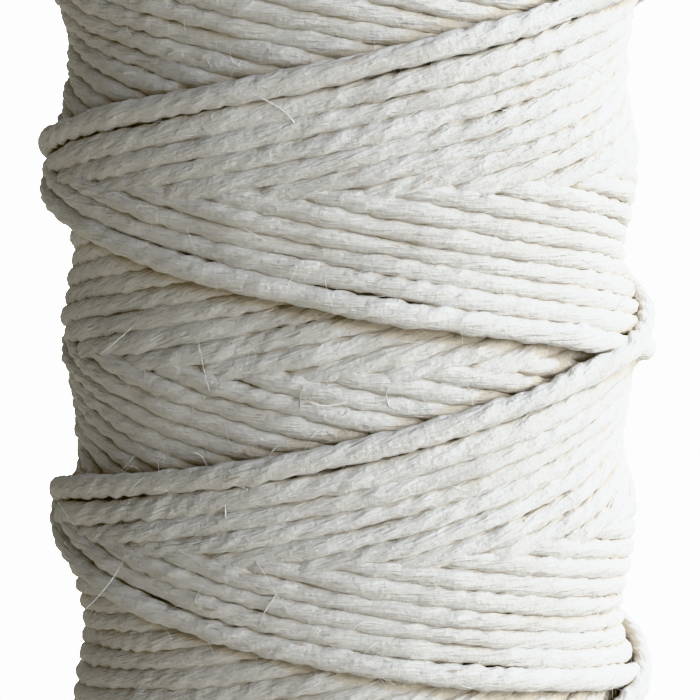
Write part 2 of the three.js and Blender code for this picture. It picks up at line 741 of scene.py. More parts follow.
    def shown(self, run: Run) -> Iterator[Run]:
        """Cuts the twine down to the stretches that later strokes, apart from the newest, don't cover.

        Args:
            run: The whole length.

        Yields:
            Each stretch that shows, with a little more at its ends, which lies under its neighbours.
        """
        angle = np.arctan2(run.centre[:, 0], -run.centre[:, 1])
        height = run.centre[:, 2]
        radius = np.hypot(run.centre[:, 0], run.centre[:, 1])
        from_end = np.minimum(height, self.height - height)
        bare = (from_end < self.end_depth) & (run.age < self.end_strokes)
        for aside in np.linspace(-1, 1, self.cover_places):
            rise = self.twine.half_height * math.sqrt(1 - aside**2)
            over = self.cover.at(angle, height + aside * self.twine.half_width)
            bare |= over < radius + rise + self.cover_margin
        spare = round(self.shown_past_cover / self.twine.ring_step)
        kept = np.convolve(bare, np.ones(2 * spare + 1), mode="same") > 0
        edges = np.flatnonzero(np.diff(np.concatenate([[0], kept.astype(int), [0]])))
        for first, past in zip(edges[::2], edges[1::2]):
            yield run.cut(first, past - 1)


@dataclass
class JoinedTubes:
    """Gathers closed tubes as arrays and joins them in one mesh with a map of its faces for baking.

    Attributes:
        columns: How many points go round a tube.
        map_margin: The share of a strip's height that is left free on the map.
        points: The points of each tube.
        faces: The corners of each tube's faces.
        strips: The strip of the map that each of those faces is in.
        values: The numbers or vectors of each tube's points, by name.
        count: How many points there are so far.
        strip_count: How many strips there are so far.
    """

    columns: int
    map_margin: float = 0.06
    points: list[np.ndarray] = field(default_factory=list)
    faces: list[np.ndarray] = field(default_factory=list)
    strips: list[np.ndarray] = field(default_factory=list)
    values: dict[str, list[np.ndarray]] = field(default_factory=dict)
    count: int = 0
    strip_count: int = 0

    def add(self, rings: np.ndarray, **values: np.ndarray) -> None:
        """Adds a tube, closed at both ends.

        Args:
            rings: Its points by ring and column.
            values: A number or vector for each of those points, by name.
        """
        number = len(rings)
        ends = rings[[0, -1]].mean(axis=1)
        self.points.append(np.concatenate([rings.reshape(-1, 3), ends]))
        for name, value in values.items():
            flat = value.reshape(number * self.columns, -1)
            self.values.setdefault(name, []).append(np.concatenate([flat, flat[[0, -1]]]))
        self.faces.append(self.tube_faces(number) + self.count)
        self.strips.append(np.repeat(np.arange(number + 1), self.columns) + self.strip_count)
        self.count += len(self.points[-1])
        self.strip_count += number + 1

    def tube_faces(self, rings: int) -> np.ndarray:
        """Gives the corners of a closed tube's faces.

        Args:
            rings: How many rings the tube has.

        Returns:
            Four corners for each face; at the tube's ends the last two are the same.
        """
        column = np.arange(self.columns)
        after = (column + 1) % self.columns
        ring = np.arange(rings - 1)[:, None] * self.columns
        following = ring + self.columns
        wall = np.stack([ring + column, ring + after, following + after, following + column], 2)
        first = np.full(self.columns, rings * self.columns)
        last_ring = (rings - 1) * self.columns
        start = np.stack([after, column, first, first], axis=1)
        stop = np.stack([last_ring + column, last_ring + after, first + 1, first + 1], axis=1)
        return np.concatenate([wall.reshape(-1, 4), start, stop])

    def face_map(self, strips: np.ndarray) -> np.ndarray:
        """Lays the faces out in rows, strip by strip, with nothing on top of anything else.

        Args:
            strips: The strip that each face is in.

        Returns:
            The place of each face's four corners on the map.
        """
        rows = max(round(math.sqrt(self.strip_count / self.columns)), 1)
        per_row = math.ceil(self.strip_count / rows)
        column = np.tile(np.arange(self.columns), len(strips) // self.columns)
        across = np.array([0, 0, 1, 1])
        around = np.array([0, 1, 1, 0])
        u = (strips % per_row)[:, None] + across
        v = (strips // per_row)[:, None] + (column[:, None] + around) / self.columns * (1 - self.map_margin)
        return np.stack([u / per_row, v / rows], axis=2)

    def build(self, name: str) -> bpy.types.Object:
        """Joins all that was added in one object.

        Args:
            name: The object's name.

        Returns:
            The new object, linked to the scene.
        """
        points, faces = np.concatenate(self.points), np.concatenate(self.faces)
        sizes = np.where(faces[:, 2] == faces[:, 3], 3, 4)
        real = np.arange(4)[None, :] < sizes[:, None]
        mesh = bpy.data.meshes.new(name)
        mesh.vertices.add(len(points))
        mesh.vertices.foreach_set("co", (points * MM).astype(np.float32).ravel())
        mesh.loops.add(int(sizes.sum()))
        mesh.loops.foreach_set("vertex_index", faces[real].astype(np.int32))
        mesh.polygons.add(len(faces))
        starts = np.concatenate([[0], np.cumsum(sizes)[:-1]])
        mesh.polygons.foreach_set("loop_start", starts.astype(np.int32))
        layout = mesh.uv_layers.new(name=BAKE_MAP)
        places = self.face_map(np.concatenate(self.strips))[real]
        layout.uv.foreach_set("vector", places.astype(np.float32).ravel())
        for key, values in self.values.items():
            self.store(mesh, key, np.concatenate(values))
        mesh.update(calc_edges=True)
        mesh.shade_smooth()
        piece = bpy.data.objects.new(name, mesh)
        bpy.context.scene.collection.objects.link(piece)
        return piece

    @staticmethod
    def store(mesh: bpy.types.Mesh, name: str, values: np.ndarray) -> None:
        """Stores a number or a vector for each point of a mesh, for its material to read.

        Args:
            mesh: The mesh.
            name: What its material reads them by.
            values: A row for each point.
        """
        vector = values.shape[1] == 3
        layer = mesh.attributes.new(name, "FLOAT_VECTOR" if vector else "FLOAT", "POINT")
        layer.data.foreach_set("vector" if vector else "value", values.astype(np.float32).ravel())


@dataclass
class TwineMesh:
    """Turns runs of twine into tubes whose points follow the plies and carry a depth that the finish paints
    as shade.

    Attributes:
        twine: What the runs are of.
        envelope: The smoothed surface of the roll, below which the crevices lie.
        roughness: How uneven the section is, as a share of it.
        end_share: The share of the section that is left at the ends of a run.
        free_depth: How much of their own depth the newest turns show, so their flanks get less painted
            shade.
        crevice_gain: How much the depth below the smoothed surface counts towards the painted shade.
        step_gain: How much a higher turn above a point counts towards the painted shadow under it.
        shade_drop: How far above a point such a turn is looked for.
        rim_fade: The distances from an end of the roll between which the depth comes to count.
        seed: The start of its unevenness.
    """

    twine: Twine
    envelope: WoundSurface | None = None
    roughness: float = 0.018
    end_share: float = 0.5
    free_depth: float = 0.45
    crevice_gain: float = 1.15
    step_gain: float = 2.4
    shade_drop: float = 0.45
    rim_fade: Span = (1.5, 6.0)
    seed: int = 3

    def __post_init__(self) -> None:
        """Starts an empty mesh."""
        self.rng = np.random.default_rng(self.seed)
        self.tubes = JoinedTubes(self.twine.columns)

    def add(self, run: Run) -> None:
        """Adds a run.

        Args:
            run: The stretch of twine.
        """
        columns = self.twine.columns
        _, outward, side = run.axes()
        turn = self.twine.twist(run.along)[:, None] + FULL_TURN * np.arange(columns) / columns
        rough = self.rng.normal(0, self.roughness, turn.shape)
        rough += np.roll(rough, 1, axis=0) + np.roll(rough, 1, axis=1)
        share = self.twine.section(run.along) * run.swell[:, None] * (1 + rough)
        power = self.twine.squareness
        share *= (np.abs(np.cos(turn)) ** power + np.abs(np.sin(turn)) ** power) ** (-1 / power)
        share[[0, -1]] *= self.end_share
        rise = share * self.twine.thickness / 2 * np.cos(turn)
        aside = share * self.twine.width / 2 * run.breadth[:, None] * np.sin(turn)
        rings = run.centre[:, None] + rise[..., None] * outward[:, None] + aside[..., None] * side[:, None]
        fibre = turn + FULL_TURN * run.along[:, None] / self.twine.fibre_lay
        length = np.broadcast_to(run.along[:, None], turn.shape)
        grain = np.stack([np.cos(fibre), np.sin(fibre), length], axis=2)
        # Painted shade: each point's depth in its own section, greatest on the side that faces what the
        # twine lies on.
        above = rise * np.cos(run.lean)[:, None] + aside * np.sin(run.lean)[:, None]
        depth = 0.5 - above / self.twine.half_height / 2
        depth *= np.where(run.age == 0, self.free_depth, 1.0)[:, None]
        if self.envelope:
            depth = self.depth_in_roll(self.envelope, run, rings, depth)
        self.tubes.add(rings, grain=grain, depth=depth)

    def depth_in_roll(
        self, envelope: WoundSurface, run: Run, rings: np.ndarray, own_depth: np.ndarray
    ) -> np.ndarray:
        """Gives how deep the points of a run lie among the turns round them, for the finish to paint as
        shade.

        Args:
            envelope: The smoothed surface of the roll.
            run: The stretch of twine.
            rings: Its points by ring and column.
            own_depth: How deep each point lies in its own section, from 0 to 1.

        Returns:
            A depth for each point, as a share of the twine's height.
        """
        x, y, z = np.moveaxis(rings, 2, 0)
        angle = np.arctan2(x, -y)
        top = np.hypot(run.centre[:, 0], run.centre[:, 1])[:, None] + self.twine.half_height
        # Painted shade: points sunk below the smoothed surface, or just under a higher turn, get darker.
        sunk = self.crevice_gain * (envelope.at(angle, z) - np.hypot(x, y))
        overhung = self.step_gain * (envelope.at(angle, z + self.shade_drop) - top)
        depth = np.maximum(own_depth, np.maximum(sunk, overhung) / self.twine.half_height / 2)
        return depth * eased(np.minimum(z, envelope.height - z), *self.rim_fade)


@dataclass
class WoundEnd:
    """One end of the roll, where the turns of each layer round over and go back under their neighbours.

    Attributes:
        twine: What is wound.
        end: Which end.
        height: The height of the roll.
        hollow_radius: The radius of the innermost ring of arcs.
        rim_radius: What the radius of the outermost ring stays below.
        ring_gap: The distance from ring to ring.
        ring_offset: How far every other arc lies out, as a share of that distance.
        arcs_per_ring: How many arcs go round.
        apex_spread: How unevenly they go round, as an angle.
        half_span: Half the angle of an arc.
        span_spread: The smallest and the largest share of that angle.
        fewest_points: How many points an arc has at least.
        wander: How far an arc strays from its ring.
        wander_length: The angle of that straying.
        inset: How far below the end an arc lies at least.
        sink: How much deeper it lies at most.
        dive: How far its ends go down under its neighbours.
        seed: The start of its unevenness.
    """

    twine: Twine
    end: RollEnd
    height: float
    hollow_radius: float = 4.6
    rim_radius: float = 22.2
    ring_gap: float = 1.45
    ring_offset: float = 0.5
    arcs_per_ring: int = 7
    apex_spread: float = 0.1
    half_span: float = 0.85
    span_spread: Span = (0.85, 1.2)
    fewest_points: int = 14
    wander: float = 0.15
    wander_length: float = 1.5
    inset: float = 0.1
    sink: float = 0.5
    dive: float = 3.0
    seed: int = 5

    def runs(self) -> list[Run]:
        """Gives the arcs of twine that show on this end.

        Returns:
            The arcs, ring by ring from the hollow out.
        """
        rng = np.random.default_rng(self.seed + self.end.value)
        runs = []
        for radius in np.arange(self.hollow_radius, self.rim_radius, self.ring_gap):
            start = rng.uniform(0, FULL_TURN)
            for number in range(self.arcs_per_ring):
                apex = start + number * FULL_TURN / self.arcs_per_ring + rng.normal(0, self.apex_spread)
                offset = (number % 2 - 0.5) * self.ring_offset * self.ring_gap
                runs.append(self.arc(rng, radius + offset, apex))
        return runs

    def arc(self, rng: np.random.Generator, radius: float, apex: float) -> Run:
        """Gives one arc, highest in its middle.

        Args:
            rng: The source of its unevenness.
            radius: How far it lies from the axis.
            apex: The angle of its middle.

        Returns:
            The arc.
        """
        span = self.half_span * rng.uniform(*self.span_spread)
        count = max(round(2 * span * radius / self.twine.ring_step), self.fewest_points)
        share = np.linspace(-1, 1, count)
        angle = apex + span * share
        from_axis = radius + wavy(rng, angle, self.wander_length, self.wander)
        least = self.twine.thickness / 2 + self.inset
        sunk = least + rng.uniform(0, self.sink) + self.dive * share**2
        height = self.height - sunk if self.end is RollEnd.TOP else sunk
        centre = round_the_axis(angle, from_axis, height)
        outward = np.broadcast_to([0.0, 0.0, self.end.value], centre.shape)
        along = lengths_along(centre) + rng.uniform(0, 1000)
        swell = 1 + wavy(rng, along, self.twine.slub_length, self.twine.slub)
        return Run(centre, outward, along, swell, np.ones(count), np.zeros(count), np.ones(count))


@dataclass(frozen=True)
class InnerWinding:
    """The older turns that only show as depth between the others: a round body with a hollow at each end.

    Attributes:
        height: The height of the roll.
        radius: The radius of the body.
        end_inset: How far inside the roll its ends lie.
        hollow_radius: The radius of the hollows.
        hollow_depth: How deep they are.
        sides: How many sides stand for its round.
        end_facing: How squarely a face of an end looks along the axis, at least.
        smooth_angle: The angle up to which its faces are smoothed.
    """

    height: float
    radius: float = 20.5
    end_inset: float = 2.6
    hollow_radius: float = 3.8
    hollow_depth: float = 6.0
    sides: int = 96
    end_facing: float = 0.9
    smooth_angle: float = math.radians(40)

    def build(self) -> bpy.types.Object:
        """Models the body: a cylinder with both ends inset and sunk in the middle.

        Returns:
            The new object.
        """
        bpy.ops.object.select_all(action="DESELECT")
        bpy.ops.mesh.primitive_cylinder_add(
            vertices=self.sides,
            radius=self.radius * MM,
            depth=(self.height - 2 * self.end_inset) * MM,
            location=(0, 0, self.height / 2 * MM),
        )
        body = bpy.context.object
        body.name = body.data.name = "inner_winding"
        bpy.ops.object.transform_apply(location=True, rotation=True, scale=True)
        for end in RollEnd:
            self.sink_end(body, end)
        bpy.ops.object.mode_set(mode="EDIT")
        bpy.ops.mesh.select_all(action="SELECT")
        bpy.ops.mesh.normals_make_consistent(inside=False)
        bpy.ops.object.mode_set(mode="OBJECT")
        bpy.ops.object.shade_smooth_by_angle(angle=self.smooth_angle)
        return body

    def sink_end(self, body: bpy.types.Object, end: RollEnd) -> None:
        """Sinks a hollow in the middle of one end.

        Args:
            body: The cylinder.
            end: Which end.
        """
        bpy.ops.object.mode_set(mode="EDIT")
        bpy.ops.mesh.select_all(action="DESELECT")
        bpy.ops.object.mode_set(mode="OBJECT")
        for face in body.data.polygons:
            face.select = face.normal.z * end.value > self.end_facing
        bpy.ops.object.mode_set(mode="EDIT")
        bpy.ops.mesh.inset(thickness=(self.radius - self.hollow_radius) * MM, depth=0)
        bpy.ops.mesh.extrude_region_move(
            TRANSFORM_OT_translate={"value": (0, 0, -end.value * self.hollow_depth * MM)}
        )
        bpy.ops.object.mode_set(mode="OBJECT")


@dataclass(frozen=True)
class LooseFibres:
    """Fine linen fibres that stand out of the twine.

    Attributes:
        twine: What they stand out of.
        height: The height of the roll, which they stay inside.
        count: How many there are.
        length: The shortest and the longest.
        width: Their width at the root.
        flank: How far round the twine they grow from its outer side, least and most, as angles.
        rise: How steeply they leave the twine, least and most.
        curl: How strongly they curl.
        segments: How many lengths they are made of.
        upright: How strongly they turn upwards.
        tip_share: The share of their width that is left at the tip.
        root_share: How far out in the twine they start.
        scatter: How unevenly they leave the twine.
        droop: How far they bend back towards the twine.
        turn_back: How much of their curl turns the other way near the tip.
        sides: How many sides they have.
    """

    twine: Twine
    height: float
    count: int
    length: Span
    width: float
    flank: Span
    rise: Span
    curl: float
    segments: int
    upright: float = 0.0
    tip_share: float = 0.5
    root_share: float = 0.9
    scatter: float = 0.3
    droop: float = 0.3
    turn_back: float = 0.5
    sides: int = 3

    def grow(self, tubes: JoinedTubes, runs: list[Run], rng: np.random.Generator) -> None:
        """Grows the fibres from runs that show.

        Args:
            tubes: What they are added to.
            runs: The stretches of twine.
            rng: The source of their places and curves.
        """
        weights = np.array([run.along[-1] - run.along[0] for run in runs])
        for number in rng.choice(len(runs), self.count, p=weights / weights.sum()):
            run = runs[number]
            tubes.add(self.fibre(run, rng.integers(1, len(run.along) - 1), rng))

    def fibre(self, run: Run, place: int, rng: np.random.Generator) -> np.ndarray:
        """Gives the points of one fibre, curved and thin at its tip.

        Args:
            run: The twine that it grows from.
            place: The point of the twine that it grows from.
            rng: The source of its curve.

        Returns:
            Its points by ring and column.
        """
        along, outward, side = (axis[1] for axis in run.cut(place - 1, place + 1).axes())
        lean = rng.choice([-1, 1]) * rng.uniform(*self.flank)
        away = math.cos(lean) * outward + math.sin(lean) * side
        out = self.twine.thickness / 2 * math.cos(lean)
        aside = self.twine.width / 2 * math.sin(lean)
        root = run.centre[place] + self.root_share * (out * outward + aside * side)
        course = along * rng.choice([-1, 1]) + away * rng.uniform(*self.rise)
        course = unit(course + self.scatter * rng.normal(0, 1, 3) + [0, 0, self.upright])
        bend = self.curl * rng.normal(0, 1, 3) - self.droop * away
        turn_back = self.curl * rng.normal(0, self.turn_back, 3)
        share = np.linspace(0, 1, self.segments + 1)[:, None]
        curve = course * share + bend * share**2 / 2 + turn_back * share**3
        middle = root + rng.uniform(*self.length) * curve
        middle[:, 2] = middle[:, 2].clip(self.width, self.height - self.width)
        heading = unit(np.gradient(middle, axis=0))
        across = unit(np.cross(heading, OBLIQUE))
        over = np.cross(heading, across)
        turn = FULL_TURN * np.arange(self.sides)[:, None] / self.sides
        ring = np.cos(turn) * across[:, None] + np.sin(turn) * over[:, None]
        width = self.width / 2 * (1 - (1 - self.tip_share) * share)
        return middle[:, None] + width[:, :, None] * ring


@dataclass(frozen=True)
class Fuzz(LooseFibres):
    """The short fibres that lie close to the twine all over the roll."""

    count: int = 7500
    length: Span = (0.6, 2.0)
    width: float = 0.06
    flank: Span = (0.4, 1.4)
    rise: Span = (0.0, 0.6)
    curl: float = 0.8
    segments: int = 3


@dataclass(frozen=True)
class StrayFibres(LooseFibres):
    """The longer fibres that stand off here and there."""

    count: int = 180
    length: Span = (1.5, 4.5)
    width: float = 0.1
    flank: Span = (0.0, 1.2)
    rise: Span = (0.4, 1.5)
    curl: float = 1.0
    segments: int = 8


@dataclass(frozen=True)
class StandingFibres(LooseFibres):
    """The few broad fibres that stand up at the front.

    Attributes:
        spots: Where they grow, as degrees round the axis and heights.
    """

    count: int = 8
    length: Span = (2.0, 3.2)
    width: float = 0.18
    flank: Span = (0.0, 0.4)
    rise: Span = (0.5, 1.0)
    curl: float = 0.5
    segments: int = 8
    upright: float = 2.2
    spots: tuple[Span, ...] = (
        (-29, 40.5), (-16, 41), (-7.5, 67.5), (-23, 35.5), (-16, 27), (-29.5, 27.5), (8.5, 44.5), (-8, 44.5),
    )

    def grow(self, tubes: JoinedTubes, runs: list[Run], rng: np.random.Generator) -> None:
        """Grows a fibre at each of the spots, from the twine that lies outermost there.

        Args:
            tubes: What they are added to.
            runs: The stretches of twine.
            rng: The source of their curves.
        """
        for degrees, height in self.spots[: self.count]:
            reached = [self.outermost(run, math.radians(degrees), height) for run in runs]
            number = max(range(len(runs)), key=lambda index: reached[index][0])
            tubes.add(self.fibre(runs[number], reached[number][1], rng))

    def outermost(self, run: Run, angle: float, height: float) -> tuple[float, int]:
        """Finds the point of a run that lies furthest out at a spot.

        Args:
            run: The stretch of twine.
            angle: The angle of the spot.
            height: Its height.

        Returns:
            How far out that point lies, 0 where the run doesn't pass the spot, and its number.
        """
        facing = np.array([math.sin(angle), -math.cos(angle), 0])
        out = run.centre @ facing
        near = np.hypot(*(run.centre - out[:, None] * facing - [0, 0, height]).T[[0, 2]])
        out[near > self.twine.half_width] = 0
        place = int(out[1:-1].argmax()) + 1
        return out[place], place


class NodeBoard:
    """Places and links nodes in a tree."""

    def __init__(self, tree: bpy.types.NodeTree) -> None:
        """Starts on an emptied tree."""
        tree.nodes.clear()
        self.tree = tree

    def put(self, socket: bpy.types.NodeSocket, value: object) -> None:
        """Links another node's socket to a socket, or sets its value.

        Args:
            socket: The socket that takes it.
            value: The other socket, or the value.
        """
        if isinstance(value, bpy.types.NodeSocket):
            self.tree.links.new(value, socket)
        else:
            socket.default_value = value

    def add(
        self, kind: str, inputs: dict[str | int, object] | None = None, **settings: object
    ) -> bpy.types.Node:
        """Adds a node.

        Args:
            kind: The node's type.
            inputs: What goes in each socket: another node's socket, or a value.
            settings: The node's own options.

        Returns:
            The node.
        """
        node = self.tree.nodes.new(kind)
        for name, value in settings.items():
            setattr(node, name, value)
        for name, value in (inputs or {}).items():
            self.put(node.inputs[name], value)
        return node

    def math(self, operation: str, *values: object) -> bpy.types.NodeSocket:
        """Adds a math node and gives its result."""
        return self.add("ShaderNodeMath", dict(enumerate(values)), operation=operation).outputs[0]

    def mix(self, share: object, low: object, high: object) -> bpy.types.NodeSocket:
        """Mixes two colours.

        Args:
            share: How much of the second one there is: a socket or a number.
            low: The first colour, or its socket.
            high: The second colour, or its socket.

        Returns:
            The socket of the result.
        """
        node = self.add("ShaderNodeMix", data_type="RGBA")
        sockets = {socket.identifier: socket for socket in node.inputs}
        for name, value in (("Factor_Float", share), ("A_Color", low), ("B_Color", high)):
            self.put(sockets[name], value)
        return next(socket for socket in node.outputs if socket.identifier == "Result_Color")

    def noise(self, place: object, scale: Trio, detail: float) -> bpy.types.NodeSocket:
        """Adds noise stretched along the axes of a place and gives its value.

        Args:
            place: The socket of the place.
            scale: How fine the noise is along each axis.
            detail: How many finer layers it has.

        Returns:
            The socket of its value.
        """
        spread = self.add("ShaderNodeMapping", {"Vector": place, "Scale": scale})
        noise = self.add("ShaderNodeTexNoise", {"Vector": spread.outputs[0], "Scale": 1.0, "Detail": detail})
        return noise.outputs[0]

    def ramp(self, value: object, low: float, high: float, to: Span = (0, 1)) -> bpy.types.NodeSocket:
        """Maps a value from one range to another, smoothly and clamped.

        Args:
            value: The socket of the value.
            low: Where its range starts.
            high: Where its range ends.
            to: The range that it is mapped to.

        Returns:
            The socket of the result.
        """
        inputs = {"Value": value, "From Min": low, "From Max": high, "To Min": to[0], "To Max": to[1]}
        return self.add("ShaderNodeMapRange", inputs, interpolation_type="SMOOTHSTEP").outputs[0]


@dataclass(frozen=True)
class Tint:
    """A colour that takes over from the others as a value changes.

    Attributes:
        colour: The colour.
        low: The value at which the change starts.
        high: The value at which it ends.
        shares: How much of the colour there is at either.
    """

    colour: Colour
    low: float
    high: float
    shares: Span

    def over(self, board: NodeBoard, value: object, colour: object) -> bpy.types.NodeSocket:
        """Lays the tint over a colour.

        Args:
            board: Where the nodes go.
            value: The socket of the value.
            colour: What it is laid over: a socket or a colour.

        Returns:
            The socket of the result.
        """
        return board.mix(board.ramp(value, self.low, self.high, self.shares), colour, self.colour)


@dataclass(frozen=True)
class LinenFinish:
    """Matt off-white linen: fine fibres along the twine and tan flecks of bark, with warm shade painted into
    the crevices.

    Attributes:
        name: The material's name.
        pale: The colour of the clean fibres.
        slub_tint: The thicker, warmer lengths.
        mottle_tint: The blotches.
        fibre_tint: The lines between the fibres.
        fleck_tint: The flecks of bark.
        crevice_shade: The warm brown shade painted into the crevices between the turns.
        deep_shade: The darker painted shade in their deepest places and under higher turns.
        fibre_scale: How fine the fibres are, twice round the twine and once along it.
        bundle_scale: How fine the bundles of fibres are.
        mottle_scale: How fine the blotches are.
        slub_scale: How fine the thicker lengths are.
        fleck_scale: How fine the flecks are.
        rough_range: The range of the fibres' noise over which the roughness changes.
        roughness: The roughness at either end of it.
        relief: How much the bundles, the blotches and the fibres count in the relief.
        bump: The height of the relief.
        sheen: How strong the sheen is.
        sheen_roughness: How broad it is.
        specular: How strong the gloss is.
    """

    name: str = "linen"
    pale: Colour = (0.84, 0.84, 0.82, 1)
    slub_tint: Tint = Tint(WARM_LINEN, 0.35, 0.75, (0.0, 0.5))
    mottle_tint: Tint = Tint(WARM_LINEN, 0.3, 0.65, (0.45, 0.0))
    fibre_tint: Tint = Tint(WARM_LINEN, 0.3, 0.65, (0.4, 0.0))
    fleck_tint: Tint = Tint((0.42, 0.31, 0.19, 1), 0.68, 0.74, (0.0, 0.45))
    crevice_shade: Tint = Tint((0.67, 0.61, 0.505, 1), 0.15, 0.45, (0.0, 0.9))
    deep_shade: Tint = Tint((0.38, 0.315, 0.23, 1), 0.5, 0.9, (0.0, 0.5))
    fibre_scale: Trio = (6.0, 6.0, 0.7)
    bundle_scale: Trio = (2.4, 2.4, 0.4)
    mottle_scale: Trio = (2.2, 2.2, 2.4)
    slub_scale: Trio = (0.9, 0.9, 0.16)
    fleck_scale: Trio = (1.6, 1.6, 0.4)
    rough_range: Span = (0.2, 0.8)
    roughness: Span = (0.82, 0.97)
    relief: Trio = (1.0, 0.5, 0.4)
    bump: float = 0.3
    sheen: float = 0.2
    sheen_roughness: float = 0.5
    specular: float = 0.25

    def material(self) -> bpy.types.Material:
        """Builds the finish.

        Returns:
            The material.
        """
        material = bpy.data.materials.new(self.name)
        material.use_nodes = True
        board = NodeBoard(material.node_tree)
        grain = board.add("ShaderNodeAttribute", attribute_name="grain").outputs["Vector"]
        depth = board.add("ShaderNodeAttribute", attribute_name="depth").outputs["Fac"]
        fibres = board.noise(grain, self.fibre_scale, 3.0)
        bundles = board.noise(grain, self.bundle_scale, 2.0)
        mottle = board.noise(grain, self.mottle_scale, 3.0)
        slubs = board.noise(grain, self.slub_scale, 2.0)
        flecks = board.noise(grain, self.fleck_scale, 2.0)
        colour = self.slub_tint.over(board, slubs, self.pale)
        colour = self.mottle_tint.over(board, mottle, colour)
        colour = self.fibre_tint.over(board, fibres, colour)
        colour = self.fleck_tint.over(board, flecks, colour)
        # Painted shade: the depth of each point turns it warm brown in crevices and darker under higher
        # turns.
        colour = self.crevice_shade.over(board, depth, colour)
        colour = self.deep_shade.over(board, depth, colour)
        rough = board.ramp(fibres, *self.rough_range, self.roughness)
        bundle_share, mottle_share, fibre_share = self.relief
        relief = board.math("MULTIPLY", fibres, fibre_share)
        relief = board.math("MULTIPLY_ADD", mottle, mottle_share, relief)
        relief = board.math("MULTIPLY_ADD", bundles, bundle_share, relief)
        bump = board.add("ShaderNodeBump", {"Strength": 1.0, "Distance": self.bump * MM, "Height": relief})
        shader = board.add(
            "ShaderNodeBsdfPrincipled",
            {
                "Base Color": colour,
                "Roughness": rough,
                "Normal": bump.outputs[0],
                "Sheen Weight": self.sheen,
                "Sheen Roughness": self.sheen_roughness,
                "Specular IOR Level": self.specular,
            },
        )
        board.add("ShaderNodeOutputMaterial", {"Surface": shader.outputs[0]})
        return material


@dataclass(frozen=True)
class FibreFinish:
    """The paler, smoother single fibres.

    Attributes:
        name: The material's name.
        colour: Their colour.
        warm_tint: The warmer ones among them.
        patch_scale: How fine the patches of warmer ones are.
        roughness: How rough they are.
    """

    name: str = "linen_fibre"
    colour: Colour = (0.93, 0.93, 0.91, 1)
    warm_tint: Tint = Tint(WARM_LINEN, 0.3, 0.7, (0.0, 0.3))
    patch_scale: Trio = (220.0, 220.0, 220.0)
    roughness: float = 0.6

    def material(self) -> bpy.types.Material:
        """Builds the finish.

        Returns:
            The material.
        """
        material = bpy.data.materials.new(self.name)
        material.use_nodes = True
        board = NodeBoard(material.node_tree)
        place = board.add("ShaderNodeTexCoord").outputs["Object"]
        colour = self.warm_tint.over(board, board.noise(place, self.patch_scale, 1.0), self.colour)
        inputs = {"Base Color": colour, "Roughness": self.roughness}
        shader = board.add("ShaderNodeBsdfPrincipled", inputs)
        board.add("ShaderNodeOutputMaterial", {"Surface": shader.outputs[0]})
        return material


@dataclass(frozen=True)
class Lamp:
    """A round soft light that faces the roll.

    Attributes:
        name: Its name.
        azimuth: How far to the right of the front it stands.
        elevation: How high it stands.
        size: Its diameter.
        watts: Its strength.
        colour: Its colour.
        distance: How far it stands from the middle of the roll.
    """

    name: str
    azimuth: float
    elevation: float
    size: float
    watts: float
    colour: Trio
    distance: float = 520.0


